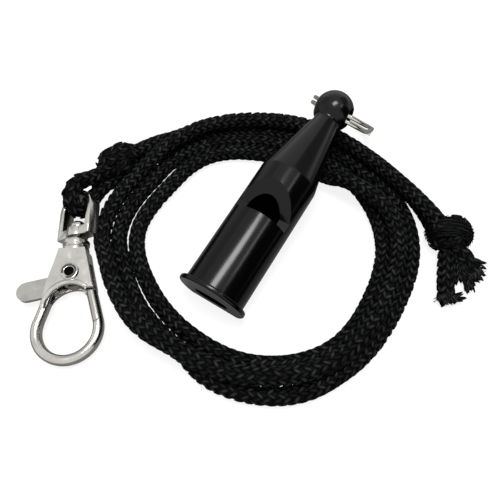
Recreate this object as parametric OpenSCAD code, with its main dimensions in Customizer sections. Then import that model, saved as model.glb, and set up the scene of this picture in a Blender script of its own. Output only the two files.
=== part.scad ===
// Training whistle on a coiled braided lanyard with a swivel trigger-snap clip.
// Millimetres. The whistle rests on its mouth flat at z = 0, mouth toward -Y.

/* [Whistle barrel] */
// Outside diameter of the barrel
barrel_d = 14.8; // [14:0.2:16]
// Diameter of the sound chamber
bore_d = 9.8; // [9.4:0.1:10]
// Height of the sound chamber's axis above the barrel's
bore_rise = 0.35; // [0.2:0.05:0.5]
// Mouth face to the shoulder where the cone starts
shoulder_at = 34.4; // [34:0.2:38]
// Mouth face to the closed end of the sound chamber
chamber_end = 35.5; // [33:0.5:38]
// Tilt of the whistle above the floor in degrees
whistle_tilt = 8.5; // [8.5:0.1:9.5]
// Axis to the rest flat at the mouth face
flat_drop = 5.1; // [5.1:0.05:5.4]

/* [Sound window] */
// Mouth face to the step of the window
step_at = 20.8; // [20:0.2:22.4]
// Length of the flat ledge behind the step
ledge_len = 2.4; // [1:0.2:3]
// Height of the ledge above the axis
ledge_rise = 2.8; // [2.2:0.1:3.4]
// Slope of the ramp in degrees
ramp_angle = 35; // [30:1:42]

/* [Tail] */
// Diameter of the neck where it meets the ball
neck_d = 6.3; // [5.5:0.1:7]
// Diameter of the ball
ball_d = 10.3; // [10:0.1:10.6]
// Mouth face to the middle of the ball
ball_at = 57.7; // [57:0.1:59]
// Diameter of the cross hole in the ball
ring_hole_d = 5.2; // [5:0.1:5.4]

/* [Mouthpiece] */
// Thickness of the flange
flange_t = 1.2; // [1:0.1:1.6]
// Overhang of the flange past the barrel
flange_lip = 1.1; // [0.6:0.1:1.4]
// Width of the mouth hole
mouth_w = 8.6; // [7.6:0.1:9]
// Bottom of the mouth hole below the axis
mouth_low = 2.8; // [2.2:0.1:3.2]
// Top of the mouth hole above the axis
mouth_high = 1.8; // [1.4:0.1:2.4]
// Height of the windway slit at the step
slit_h = 1; // [0.8:0.1:1.3]

/* [Split ring] */
// Outside diameter of the ring
ring_od = 18.6; // [18:0.2:20]
// Width of the flat wire along the ring's axis
wire_w = 1; // [0.8:0.05:1.1]
// Thickness of the wire along the radius
wire_t = 1.1; // [0.8:0.1:1.2]
// Gap between the two turns
turn_gap = 0.45; // [0.42:0.01:0.55]

/* [Cord] */
// Diameter of the braided cord
cord_d = 3.8; // [3.2:0.1:3.8]
// Radius of the strand drawn for each knot
knot_strand_r = 1.05; // [0.9:0.05:1.05]

/* [Snap body] */
// Diameter of the collar
collar_d = 6.2; // [5.8:0.1:6.6]
// Thickness of the body at the rivet
body_t = 5.2; // [5:0.1:5.8]
// Mean radius of the hook's round end
hook_r = 6.85; // [6.6:0.05:7.1]
// Width of the hook's bar
hook_bar_w = 2.3; // [2:0.1:2.5]
// Height of the hook's bar
hook_bar_h = 3; // [2.6:0.1:3]
// Swivel joint to the rivet
rivet_from_swivel = 9.1; // [8.9:0.1:9.4]

/* [Swivel] */
// Diameter of the swivel post
post_d = 2.2; // [1.8:0.1:2.4]
// Diameter of the head of the post
post_head_d = 3.6; // [3.2:0.1:4]
// Outside width of the bail
bail_w = 10.4; // [10:0.2:10.6]
// Thickness of the bail strap
bail_t = 1.5; // [1.2:0.1:1.6]
// Width of the bail strap
strap_w = 3.2; // [2.8:0.1:3.4]
// Turn of the bail about the swivel axis in degrees
bail_turn = 30; // [28:1:32]

/* [Gate] */
// Outside diameter of the hollow rivet
rivet_d = 3; // [2.8:0.1:3.1]
// Diameter of the hole through the rivet
rivet_bore_d = 2.2; // [1.6:0.1:2.3]
// Diameter of the rivet flanges
rivet_flange_d = 4.4; // [4:0.1:5]
// Diameter of the gate's hub
hub_d = 6.2; // [6:0.1:6.4]
// Width of the thumb lever
lever_w = 4.6; // [4:0.1:5]
// Thickness of the thumb lever
lever_t = 1.2; // [1:0.1:1.3]
// Diameter of the spring wire
spring_wire = 0.4; // [0.3:0.05:0.42]

/* [Fits] */
// Radial clearance of turning fits
run_clear = 0.05; // [0.03:0.01:0.08]
// Clearance of pressed fits
press_clear = 0.02; // [0.01:0.01:0.04]
// Clearance around the gate in the body
gate_clear = 0.2; // [0.15:0.01:0.25]

/* [Hidden] */
$fn = 64;
slack = 0.01;
black = [0.02, 0.02, 0.022];
cord_black = [0.03, 0.03, 0.03];
nickel = [0.78, 0.78, 0.76];

// Whistle
rest_back = 6;
flange_d = barrel_d + 2 * flange_lip;
neck_end = ball_at - sqrt(pow(ball_d / 2, 2) - pow(neck_d / 2, 2));
ramp_end = step_at + ledge_len + (barrel_d / 2 + 1 - ledge_rise) / tan(ramp_angle);
slit_floor = bore_rise + bore_d / 2 - slit_h;
slit_overlap = 0.05;
funnel_d = max(mouth_w, 2 * (slit_floor + slit_overlap));
plug_d = bore_d - 2 * press_clear;
ball_y = -rest_back - flat_drop * sin(whistle_tilt) + ball_at * cos(whistle_tilt);
ball_z = flat_drop * cos(whistle_tilt) + ball_at * sin(whistle_tilt);

// Split ring: it leans from the ball until its far edge meets the floor
ring_mean_r = (ring_od - wire_t) / 2;
ring_slip = 0.6;
ring_yaw = -8;
ring_offset = ring_mean_r - ring_slip;
ring_reach = ring_offset + ring_od / 2;
ring_half = wire_w + turn_gap / 2;
ring_floor = 0.15;
ring_lean = asin((ball_z - ring_floor) / norm([ring_reach, ring_half])) - atan2(ring_half, ring_reach);
ring_steps = 90;

// Snap, in its own frame: +X to the bail, +Y to the lever
clip_at = [-36, -11, 4.3];
clip_turn = 125;
clip_pitch = 5;
collar_top = -0.4;
collar_end = -3.6;
groove = 0.35;
body_start = -3.2;
body_end = -12.8;
waist_from = -6;
waist_to = -11.8;
horn_end = -16.6;
nose_end = -17;
body_half_w = 5.4;
rivet_x = -rivet_from_swivel;
hook_x = -21.9;
arm_angle = 16;
tangent = [hook_x + hook_r * sin(arm_angle), hook_r * cos(arm_angle)];
arm_len = (body_end + 1.3 - tangent[0]) / cos(arm_angle);
weld = 0.5;
weld_inset = 0.05;
throat_x = -17.5;
throat_r = 5.7;
joint_r = 13;
joint_gap = 0.15;
bail_foot = 0.4;
bail_foot_t = 2.4;
bail_top = 13;
bail_arch_r = bail_w / 2;
bail_arch_x = bail_top - bail_arch_r;
foot_top = bail_foot + bail_foot_t;
head_gap = 0.1;
head_h = 1.8;
post_end = -3.4;
hub_low = -1.6;
hub_high = 0.8;
web_t = 0.7;
recess_d = hub_d - 1.4;
pocket_half = 1.7;
slot_half = 1.5;
arm_half = slot_half - gate_clear;
rivet_head_t = 0.45;
lever_root = [-11.2, 2];
lever_angle = 101;
lever_len = 8.2;
bar_start = -13.4;
coil_r = (recess_d / 2 + rivet_d / 2) / 2;
coil_pitch = 0.84;
coil_low = hub_low + web_t + 0.05 + spring_wire / 2;
coil_turn = 810;
coil_from = 200;
leg_low = 1.5;
leg_high = 2.2;
spring_fn = 6;

// Cord stations as [angle, radius, height] about coil_at; the angle runs clockwise from -X
coil_at = [0, 14];
long_stations = [
    [3, 42, 2.6], [8, 40.8, 2.4], [20, 37.2, 2], [35, 35.6, 2], [60, 34.2, 2], [90, 33.8, 2],
    [120, 34.6, 2], [150, 35.6, 2], [180, 35.6, 2], [210, 37.6, 2], [225, 38.6, 2], [240, 38, 2],
    [255, 36.4, 2], [270, 34.8, 2], [300, 34.4, 2], [330, 33.6, 2], [360, 32.4, 2], [390, 31.4, 2],
    [420, 29.8, 2], [450, 29.4, 2], [480, 30, 2], [510, 30.4, 2], [540, 30.4, 2], [570, 32.8, 2],
    [600, 32.4, 2], [630, 30.2, 2], [660, 29.4, 2], [690, 29.2, 2], [720, 28, 2], [750, 27, 2],
    [780, 25.4, 2], [810, 25, 2.2], [825, 25.8, 4.4], [832, 27.4, 6], [840, 29.6, 6.6], [855, 32, 6.2],
    [870, 33, 5.8], [900, 33, 5.7], [930, 35.3, 5.7], [960, 35.2, 5.8], [990, 34.4, 6.5], [1005, 36.1, 6.3],
    [1020, 37.5, 4.9], [1035, 37.4, 4.1], [1050, 37.2, 3.8], [1080, 36.4, 4.8], [1095, 37, 6.5],
    [1110, 37.2, 6.6], [1140, 36, 5.9], [1170, 35.8, 5.9], [1185, 36, 5.9], [1195, 36.8, 5.8],
    [1205, 38.1, 5.8], [1215, 40.2, 6], [1224, 43, 5.8]
];
short_stations = [
    [3, 42.8, 6.6], [13, 41.4, 5.8], [22, 40.6, 4], [35, 40, 2.4], [60, 38.6, 2], [90, 38.2, 2],
    [105, 38.7, 2], [115, 39.4, 2], [125, 40.6, 2], [135, 42.2, 2], [145, 43.6, 2]
];
bight_points = [
    [-41.7, 9.5, 6], [-42.7, 4.2, 7.4], [-43.6, 0.3, 9.1], [-43.1, -3.2, 8.8], [-41.4, -5, 6.6],
    [-39.5, -3.8, 4.3], [-39.6, -0.6, 3], [-40.1, 3.4, 2.4], [-39.9, 8.6, 2.1]
];
tail_down_points = [[40.3, 35.2, 2.6], [42.6, 29, 2.1], [45.4, 21.8, 2]];
tail_side_points = [[43.4, 38, 4.2], [45.6, 34.6, 3.2], [48.3, 31.8, 2.3]];
clip_knot_at = [-43, 13.3, 3.4];
end_knot_at = [39.3, 38.8, 3.4];
clip_knot_turn = 60;
end_knot_turn = 30;
knot_ring_r = 3;
knot_wave_r = 1.5;
knot_wave_h = 2.2;
knot_steps = 60;
ring_step = 10;
cord_fn = 8;

// Station table to points: cubic Hermite of radius and height over the angle
function station_seg(T, w, i = 0) = (i >= len(T) - 2 || w <= T[i + 1][0]) ? i : station_seg(T, w, i + 1);
function station_slope(T, i) =
    let (a = max(i - 1, 0), b = min(i + 1, len(T) - 1)) (T[b] - T[a]) / (T[b][0] - T[a][0]);
function station_at(T, w) =
    let (i = station_seg(T, w), h = T[i + 1][0] - T[i][0], t = (w - T[i][0]) / h)
    (2 * t * t * t - 3 * t * t + 1) * T[i] + (t * t * t - 2 * t * t + t) * h * station_slope(T, i)
    + (3 * t * t - 2 * t * t * t) * T[i + 1] + (t * t * t - t * t) * h * station_slope(T, i + 1);
function station_path(T, step) =
    let (w0 = T[0][0], w1 = T[len(T) - 1][0], n = round((w1 - w0) / step))
    [for (k = [0:n]) let (w = w0 + (w1 - w0) * k / n, s = station_at(T, w))
        [coil_at[0] - s[1] * cos(w), coil_at[1] + s[1] * sin(w), s[2]]];

// Points to a smooth path through them
function spline_point(a, b, c, d, t) =
    0.5 * (2 * b + (c - a) * t + (2 * a - 5 * b + 4 * c - d) * t * t + (3 * b - a - 3 * c + d) * t * t * t);
function spline_path(P, k) =
    let (n = len(P)) concat(
        [for (i = [0:n - 2]) for (j = [0:k - 1])
            spline_point(P[max(i - 1, 0)], P[i], P[i + 1], P[min(i + 2, n - 1)], j / k)],
        [P[n - 1]]);

// Swept round tube with triangle faces
function unit(v) = v / norm(v);
function path_dir(P, i, closed) =
    let (n = len(P))
    closed ? unit(P[(i + 1) % n] - P[(i + n - 1) % n]) : unit(P[min(i + 1, n - 1)] - P[max(i - 1, 0)]);
function tube_points(P, r, sides, ref, closed) =
    [for (i = [0:len(P) - 1])
        let (t = path_dir(P, i, closed), a = unit(cross(ref, t)), b = cross(t, a))
        for (j = [0:sides - 1]) P[i] + r * (cos(360 * j / sides) * a + sin(360 * j / sides) * b)];
function tube_skin(n, sides, closed) =
    [for (i = [0:(closed ? n - 1 : n - 2)]) for (j = [0:sides - 1]) for (k = [0, 1])
        let (m = (i + 1) % n, p = i * sides + j, q = i * sides + (j + 1) % sides,
            u = m * sides + (j + 1) % sides, v = m * sides + j)
        k == 0 ? [p, u, q] : [p, v, u]];
function tube_caps(n, sides) =
    [for (j = [1:sides - 2]) for (k = [0, 1])
        k == 0 ? [0, j, j + 1] : [(n - 1) * sides, (n - 1) * sides + j + 1, (n - 1) * sides + j]];
module tube(P, r, sides, ref = [0, 0, 1], closed = false) {
    n = len(P);
    faces = closed ? tube_skin(n, sides, true) : concat(tube_skin(n, sides, false), tube_caps(n, sides));
    polyhedron(points = tube_points(P, r, sides, ref, closed), faces = faces, convexity = 10);
}

// Least gap of a tube to itself, leaving out neighbours along the path
function self_gap(P, d, skip) =
    min([for (i = [0:len(P) - 1 - skip]) for (j = [i + skip:len(P) - 1]) norm(P[i] - P[j])]) - d;
function closed_gap(P, d, skip) =
    min([for (i = [0:len(P) - 1]) for (j = [i + skip:min(len(P) - 1, i + len(P) - skip)])
        norm(P[i] - P[j])]) - d;

function knot_path(at, turn) =
    [for (i = [0:knot_steps - 1])
        let (t = 360 * i / knot_steps, r = knot_ring_r + knot_wave_r * cos(3 * t))
        at + [r * cos(2 * t + turn), r * sin(2 * t + turn), knot_wave_h * sin(3 * t)]];
long_path = station_path(long_stations, ring_step);
short_path = station_path(short_stations, ring_step);
bight_path = spline_path(bight_points, 3);
echo(long_gap = self_gap(station_path(long_stations, 5), cord_d, 8));
echo(bight_gap = self_gap(bight_path, cord_d, 7));
echo(knot_gap = closed_gap(knot_path([0, 0, 0], 0), 2 * knot_strand_r, 7));

// Whistle frame: local Z runs from the mouth face to the ball, local -Y is up
module whistle_frame() {
    translate([0, -rest_back, 0]) rotate([whistle_tilt, 0, 0]) translate([0, 0, flat_drop])
        rotate([-90, 0, 0]) children();
}
module side_cut(points, width) {
    rotate([0, -90, 0]) linear_extrude(width, center = true)
        polygon([for (p = points) [p[0], -p[1]]]);
}
module below_floor() {
    translate([-barrel_d, -2 * rest_back, -barrel_d]) cube([2 * barrel_d, 5 * rest_back, barrel_d]);
}

module whistle_body() color(black) difference() {
    whistle_frame() difference() {
        union() {
            rotate_extrude() polygon([[0, flange_t], [barrel_d / 2, flange_t], [barrel_d / 2, shoulder_at],
                [neck_d / 2, neck_end], [0, neck_end]]);
            translate([0, 0, ball_at]) sphere(d = ball_d);
        }
        translate([0, -bore_rise, flange_t - 1]) cylinder(d = bore_d, h = chamber_end - flange_t + 1);
        side_cut([[step_at, ledge_rise], [step_at + ledge_len, ledge_rise], [ramp_end, barrel_d / 2 + 1],
            [step_at, barrel_d / 2 + 1]], barrel_d + 2);
        translate([0, 0, ball_at]) rotate([0, 90, 0])
            cylinder(d = ring_hole_d, h = ball_d + 2, center = true);
    }
    below_floor();
}

module mouthpiece() color(black) difference() {
    whistle_frame() difference() {
        union() {
            cylinder(d = flange_d, h = flange_t - slack);
            translate([0, -bore_rise, 0]) cylinder(d = plug_d, h = step_at - 2 * gate_clear);
        }
        intersection() {
            side_cut([[-1, -mouth_low], [1, -mouth_low], [step_at, slit_floor], [step_at, barrel_d],
                [step_at / 2, barrel_d], [1, mouth_high], [-1, mouth_high]], mouth_w);
            translate([0, 0, -1]) cylinder(d = funnel_d, h = step_at + 2);
        }
        translate([0, 0, flange_t + 1]) intersection() {
            side_cut([[0, slit_floor], [step_at, slit_floor], [step_at, barrel_d], [0, barrel_d]],
                mouth_w - 2);
            cylinder(d = barrel_d, h = step_at);
        }
    }
    below_floor();
}

// Split ring: lower turn, smooth jog, upper turn
function jog(a) = let (t = min(max((a - 340) / 40, 0), 1)) t * t * (3 - 2 * t);
function ring_points() =
    [for (i = [0:ring_steps])
        let (a = 20 + 680 * i / ring_steps, z = (wire_w + turn_gap) * (jog(a) - 0.5))
        for (c = [[-1, -1], [1, -1], [1, 1], [-1, 1]])
            let (r = ring_mean_r + c[0] * wire_t / 2) [r * cos(a), r * sin(a), z + c[1] * wire_w / 2]];
module split_ring() color(nickel) translate([0, ball_y, ball_z]) rotate([-ring_lean, 0, ring_yaw])
    translate([0, ring_offset, 0])
        polyhedron(points = ring_points(), faces = concat(tube_skin(ring_steps + 1, 4, false),
            tube_caps(ring_steps + 1, 4)), convexity = 10);

module long_strand() color(cord_black) tube(long_path, cord_d / 2, cord_fn);
module short_strand() color(cord_black) tube(short_path, cord_d / 2, cord_fn);
module eye_bight() color(cord_black) tube(bight_path, cord_d / 2, cord_fn, ref = [-0.82, -0.57, 0]);
module clip_knot() color(cord_black)
    tube(knot_path(clip_knot_at, clip_knot_turn), knot_strand_r, cord_fn, closed = true);
module end_knot() color(cord_black)
    tube(knot_path(end_knot_at, end_knot_turn), knot_strand_r, cord_fn, closed = true);
module tail_down() color(cord_black) tube(spline_path(tail_down_points, 3), cord_d / 2, cord_fn);
module tail_side() color(cord_black) tube(spline_path(tail_side_points, 3), cord_d / 2, cord_fn);

module clip_frame() {
    translate(clip_at) rotate([0, 0, clip_turn]) rotate([0, -clip_pitch, 0]) children();
}
module bar_section(inset = 0) {
    square([hook_bar_w - 2 * inset, hook_bar_h - hook_bar_w], center = true);
    for (s = [-1, 1]) translate([0, s * (hook_bar_h - hook_bar_w) / 2]) circle(d = hook_bar_w - 2 * inset);
}
module bar_along(from, angle, length, inset = 0) {
    translate([from[0], from[1], 0]) rotate([0, 0, angle]) translate([-weld, 0, 0]) rotate([90, 0, 90])
        linear_extrude(length + weld) bar_section(inset);
}

module swivel_eye() color(nickel) clip_frame() rotate([-bail_turn, 0, 0]) difference() {
    union() {
        linear_extrude(strap_w, center = true) difference() {
            union() {
                translate([bail_foot, -bail_arch_r]) square([bail_arch_x - bail_foot, bail_w]);
                translate([bail_arch_x, 0]) circle(r = bail_arch_r);
            }
            translate([foot_top, bail_t - bail_arch_r])
                square([bail_arch_x - foot_top, bail_w - 2 * bail_t]);
            translate([bail_arch_x, 0]) circle(r = bail_arch_r - bail_t);
        }
        translate([bail_foot, 0, 0]) rotate([0, 90, 0]) cylinder(d = post_d + 2.8, h = bail_foot_t);
    }
    translate([bail_foot - 1, 0, 0]) rotate([0, 90, 0])
        cylinder(d = post_d + 2 * run_clear, h = bail_foot_t + 2);
}

module swivel_post() color(nickel) clip_frame() rotate([0, 90, 0]) rotate_extrude()
    polygon([[0, post_end], [post_d / 2, post_end], [post_d / 2, foot_top + head_gap],
        [post_head_d / 2, foot_top + head_gap], [post_head_d / 2, foot_top + head_gap + head_h * 0.6],
        [post_head_d / 3, foot_top + head_gap + head_h], [0, foot_top + head_gap + head_h]]);

module snap_collar() {
    r = collar_d / 2;
    rotate([0, 90, 0]) rotate_extrude() polygon([[0, body_start - 1], [r - groove, body_start - 1],
        [r - groove, collar_end], [r, collar_end + groove], [r, -2.6], [r - groove, -2.3], [r - groove, -1.9],
        [r, -1.6], [r, collar_top - groove], [r - groove, collar_top], [0, collar_top]]);
}
module snap_plates() {
    intersection() {
        linear_extrude(2 * body_t, center = true) difference() {
            union() {
                polygon([[body_start, collar_d / 2 - 0.1], [body_end, body_half_w], [body_end, -body_half_w],
                    [body_start, 0.1 - collar_d / 2]]);
                polygon([[body_end + 0.3, 0.5], [body_end + 0.3, body_half_w - 0.2], [horn_end, 6.2],
                    [horn_end, 4]]);
            }
            translate([throat_x, -0.3]) circle(r = throat_r);
        }
        rotate([90, 0, 0]) linear_extrude(4 * body_half_w, center = true)
            polygon([[body_start, body_t / 2 + 0.3], [waist_from, body_t / 2], [waist_to, body_t / 2],
                [nose_end, hook_bar_h / 2], [nose_end, -hook_bar_h / 2], [waist_to, -body_t / 2],
                [waist_from, -body_t / 2], [body_start, -body_t / 2 - 0.3]]);
    }
}
module snap_hook() {
    bar_along(tangent, -arm_angle, arm_len, weld_inset);
    difference() {
        translate([hook_x, 0, 0]) rotate([0, 0, 90 - arm_angle]) rotate_extrude(angle = 180 + 2 * arm_angle)
            translate([hook_r, 0]) bar_section();
        intersection() {
            translate([rivet_x, 0, 0]) cylinder(r = joint_r + joint_gap, h = 2 * hook_bar_h, center = true);
            translate([hook_x, -2 * hook_r, -hook_bar_h]) cube([2 * hook_r, 2 * hook_r, 2 * hook_bar_h]);
        }
    }
}
module hook_body() color(nickel) clip_frame() difference() {
    union() {
        snap_collar();
        snap_plates();
        snap_hook();
    }
    translate([rivet_x, 0, 0]) cylinder(d = hub_d + 3 * gate_clear, h = 2 * pocket_half, center = true);
    translate([-13.6, -8, -slot_half]) cube([7.2, 11, 2 * slot_half]);
    translate([-15.9, 0.5, -lever_t / 2 - gate_clear]) cube([10.3, 8.5, lever_t + 2 * gate_clear]);
    translate([rivet_x, 0, 0]) cylinder(d = rivet_d + 2 * press_clear, h = 2 * body_t, center = true);
    translate([post_end - 0.2, 0, 0]) rotate([0, 90, 0]) cylinder(d = post_d + 2 * press_clear, h = 5);
}

module pivot_rivet() color(nickel) clip_frame() translate([rivet_x, 0, 0]) difference() {
    union() {
        cylinder(d = rivet_d, h = body_t + slack, center = true);
        for (s = [0, 1]) mirror([0, 0, s]) translate([0, 0, body_t / 2 + slack / 2])
            cylinder(d1 = rivet_flange_d, d2 = rivet_flange_d - 0.6, h = rivet_head_t);
    }
    cylinder(d = rivet_bore_d, h = 3 * body_t, center = true);
}

module gate_hub() {
    difference() {
        union() {
            translate([0, 0, hub_low]) cylinder(d = hub_d, h = hub_high - hub_low);
            translate([0, 0, -arm_half]) linear_extrude(hub_high + arm_half)
                polygon([[-0.6, -2.9], [-2.6, -1.4], [-4.9, -3.4], [-4.1, -5.7]]);
            linear_extrude(lever_t, center = true) translate([lever_root[0] - rivet_x, lever_root[1]])
                rotate(lever_angle) {
                    translate([0, -lever_w / 2]) square([lever_len, lever_w]);
                    translate([lever_len, 0]) circle(d = lever_w);
                }
        }
        translate([0, 0, hub_low + web_t]) cylinder(d = recess_d, h = 2 * pocket_half);
        cylinder(d = rivet_d + 2 * run_clear, h = 4 * pocket_half, center = true);
        rotate([0, 0, coil_from]) translate([coil_r - 0.5, -3 * leg_low, hub_low + web_t])
            cube([1, 3 * leg_low, 2 * pocket_half]);
    }
}
module trigger_gate() color(nickel) clip_frame() {
    translate([rivet_x, 0, 0]) gate_hub();
    intersection() {
        bar_along([tangent[0] - 3, -tangent[1] - 3 * tan(arm_angle)], arm_angle,
            (bar_start - tangent[0] + 3) / cos(arm_angle));
        translate([rivet_x, 0, 0]) cylinder(r = joint_r, h = 2 * hook_bar_h, center = true);
    }
}

// Torsion spring: tangent leg in the hub notch, coil, tangent leg over the hub
function coil_point(a) = [coil_r * cos(a), coil_r * sin(a), coil_low + coil_pitch * (a - coil_from) / 360];
function spring_route() =
    let (a0 = coil_from, a1 = coil_from + coil_turn)
    concat(
        [for (k = [3, 2, 1]) coil_point(a0) + leg_low * k / 3 * [sin(a0), -cos(a0), 0]],
        [for (i = [0:54]) coil_point(a0 + coil_turn * i / 54)],
        [for (k = [1, 2, 3]) coil_point(a1) + leg_high * k / 3 * [-sin(a1), cos(a1), 0]]);
module gate_spring() color(nickel) clip_frame() translate([rivet_x, 0, 0])
    tube(spring_route(), spring_wire / 2, spring_fn);

whistle_body();
mouthpiece();
split_ring();
long_strand();
short_strand();
eye_bight();
clip_knot();
end_knot();
tail_down();
tail_side();
swivel_eye();
swivel_post();
hook_body();
trigger_gate();
pivot_rivet();
gate_spring();
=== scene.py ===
"""Training whistle with split ring, braided lanyard and swivel snap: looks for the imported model."""

import math

import bmesh
import bpy
import numpy as np
from bpy.props import FloatProperty, FloatVectorProperty, IntProperty, PointerProperty
from mathutils import Matrix, Vector


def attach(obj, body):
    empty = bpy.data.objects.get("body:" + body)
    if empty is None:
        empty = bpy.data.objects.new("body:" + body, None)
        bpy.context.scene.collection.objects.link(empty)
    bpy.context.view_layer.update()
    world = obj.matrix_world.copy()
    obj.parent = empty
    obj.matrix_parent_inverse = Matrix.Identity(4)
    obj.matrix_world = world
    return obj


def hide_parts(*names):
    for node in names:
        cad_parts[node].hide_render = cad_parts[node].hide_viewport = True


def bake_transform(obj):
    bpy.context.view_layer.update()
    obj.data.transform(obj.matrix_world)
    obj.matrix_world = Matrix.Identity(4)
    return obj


bl_info = {
    "name": "Training Whistle on a Lanyard",
    "version": (1, 0, 0),
    "blender": (4, 5, 0),
    "location": "View3D > Sidebar > Whistle",
    "description": "Dresses the packed whistle, its braided lanyard and its snap",
    "category": "Object",
}

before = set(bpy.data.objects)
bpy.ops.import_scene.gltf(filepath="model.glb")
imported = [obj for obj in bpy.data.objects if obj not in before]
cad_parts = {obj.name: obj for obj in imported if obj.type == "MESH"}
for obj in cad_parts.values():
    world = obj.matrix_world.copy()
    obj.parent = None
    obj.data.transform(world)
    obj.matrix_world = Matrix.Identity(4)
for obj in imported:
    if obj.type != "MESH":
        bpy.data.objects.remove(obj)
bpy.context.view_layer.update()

# Too small to see, for clearances and tests
HAIR = 0.00002

# Whistle sizes; its own Z runs from the mouth face to the ball and its own -Y is up
TILT = math.radians(8.5)
FLAT_DROP = 0.0051
REST_BACK = 0.006
BARREL_R = 0.0074
BORE_R = 0.0049
BORE_RISE = 0.00035
FLANGE_R = 0.0085
FLANGE_T = 0.0012
SHOULDER_AT = 0.0344
CHAMBER_END = 0.0355
NECK_R = 0.00315
BALL_R = 0.00515
BALL_AT = 0.0577
HOLE_R = 0.0026
STEP_AT = 0.0208
LEDGE_LEN = 0.0024
LEDGE_RISE = 0.0028
RAMP_ANGLE = math.radians(35)
PLUG_R = 0.00488
PLUG_FROM, PLUG_END = 0.0004, 0.0204
MOUTH = Vector((0, -REST_BACK - FLAT_DROP * math.sin(TILT), FLAT_DROP * math.cos(TILT)))
WHISTLE_FRAME = Matrix.Translation(MOUTH) @ Matrix.Rotation(TILT - math.pi / 2, 4, "X")
BALL = WHISTLE_FRAME @ Vector((0, 0, BALL_AT))

# Split ring, its angles in degrees
RING_MEAN_R = 0.00875
RING_OFFSET = 0.00815
RING_YAW = math.radians(-8)
WIRE_W = 0.001
WIRE_T = 0.0011
TURN_GAP = 0.00045
RING_FROM, RING_TO = 20, 700
JOG_FROM, JOG_SPAN = 340, 40
FLOOR_CLEAR = 0.00015
RING_REACH = RING_OFFSET + RING_MEAN_R + WIRE_T / 2
RING_STACK = WIRE_W + TURN_GAP / 2
RING_LEAN = (math.asin((BALL.z - FLOOR_CLEAR) / math.hypot(RING_REACH, RING_STACK))
             - math.atan2(RING_STACK, RING_REACH))

# Snap: its own +X points to the bail and its own +Y to the lever; angles of coil and bead in degrees
SNAP_AT = (-0.036, -0.011, 0.0043)
SNAP_TURN, SNAP_TIP = math.radians(125), math.radians(-5)
SNAP_FRAME = (Matrix.Translation(SNAP_AT) @ Matrix.Rotation(SNAP_TURN, 4, "Z")
              @ Matrix.Rotation(SNAP_TIP, 4, "Y"))
RIVET_X = -0.0091
RIVET_BORE_R = 0.0011
THROAT = (-0.0175, -0.0003)
COIL_R = 0.00195
COIL_LOW = -0.00065
COIL_PITCH = 0.00084
COIL_FROM, COIL_TURN = 200, 810
LEG_LOW, LEG_HIGH = 0.0015, 0.0022
SPRING_WIRE = 0.0004
BEAD_R = 0.006
BEAD_W = 0.0013
BEAD_SINK = 0.0003
BEAD_FROM, BEAD_TO, BEAD_STEP = -38, 86, 4
FACE_HALF = 0.0026
TAPER_AT, TAPER_LEN, TAPER_DROP = -0.0118, 0.0052, 0.0011

# Cord stations about COIL: angle in degrees clockwise from -X, radius and height in metres; where no height
# is given it is LAY, on the floor
COIL = (0.0, 0.014)
LAY = 0.002
LONG_STATIONS = [
    (3, 0.042, 0.0026), (8, 0.0408, 0.0024), (20, 0.0372), (35, 0.0356), (60, 0.0342), (90, 0.0338),
    (120, 0.0346), (150, 0.0356), (180, 0.0356), (210, 0.0376), (225, 0.0386), (240, 0.038), (255, 0.0364),
    (270, 0.0348), (300, 0.0344), (330, 0.0336), (360, 0.0324), (390, 0.0314), (420, 0.0298), (450, 0.0294),
    (480, 0.03), (510, 0.0304), (540, 0.0304), (570, 0.0328), (600, 0.0324), (630, 0.0302), (660, 0.0294),
    (690, 0.0292), (720, 0.028), (750, 0.027), (780, 0.0254), (810, 0.025, 0.0022), (825, 0.0258, 0.0044),
    (832, 0.0274, 0.006), (840, 0.0296, 0.0066), (855, 0.032, 0.0062), (870, 0.033, 0.0058),
    (900, 0.033, 0.0057), (930, 0.0353, 0.0057), (960, 0.0352, 0.0058), (990, 0.0344, 0.0065),
    (1005, 0.0361, 0.0063), (1020, 0.0375, 0.0049), (1035, 0.0374, 0.0041), (1050, 0.0372, 0.0038),
    (1080, 0.0364, 0.0048), (1095, 0.037, 0.0065), (1110, 0.0372, 0.0066), (1140, 0.036, 0.0059),
    (1170, 0.0358, 0.0059), (1185, 0.036, 0.0059), (1195, 0.0368, 0.0058), (1205, 0.0381, 0.0058),
    (1215, 0.0402, 0.006), (1224, 0.043, 0.0058),
]
SHORT_STATIONS = [
    (3, 0.0428, 0.0066), (13, 0.0414, 0.0058), (22, 0.0406, 0.004), (35, 0.04, 0.0024), (60, 0.0386),
    (90, 0.0382), (105, 0.0387), (115, 0.0394), (125, 0.0406), (135, 0.0422), (145, 0.0436),
]
BIGHT_POINTS = [
    (-0.0417, 0.0095, 0.006), (-0.0427, 0.0042, 0.0074), (-0.0436, 0.0003, 0.0091),
    (-0.0431, -0.0032, 0.0088), (-0.0414, -0.005, 0.0066), (-0.0395, -0.0038, 0.0043),
    (-0.0396, -0.0006, 0.003), (-0.0401, 0.0034, 0.0024), (-0.0399, 0.0086, 0.0021),
]
TAIL_DOWN_POINTS = [(0.0403, 0.0352, 0.0026), (0.0426, 0.029, 0.0021), (0.0454, 0.0218, LAY)]

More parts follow.
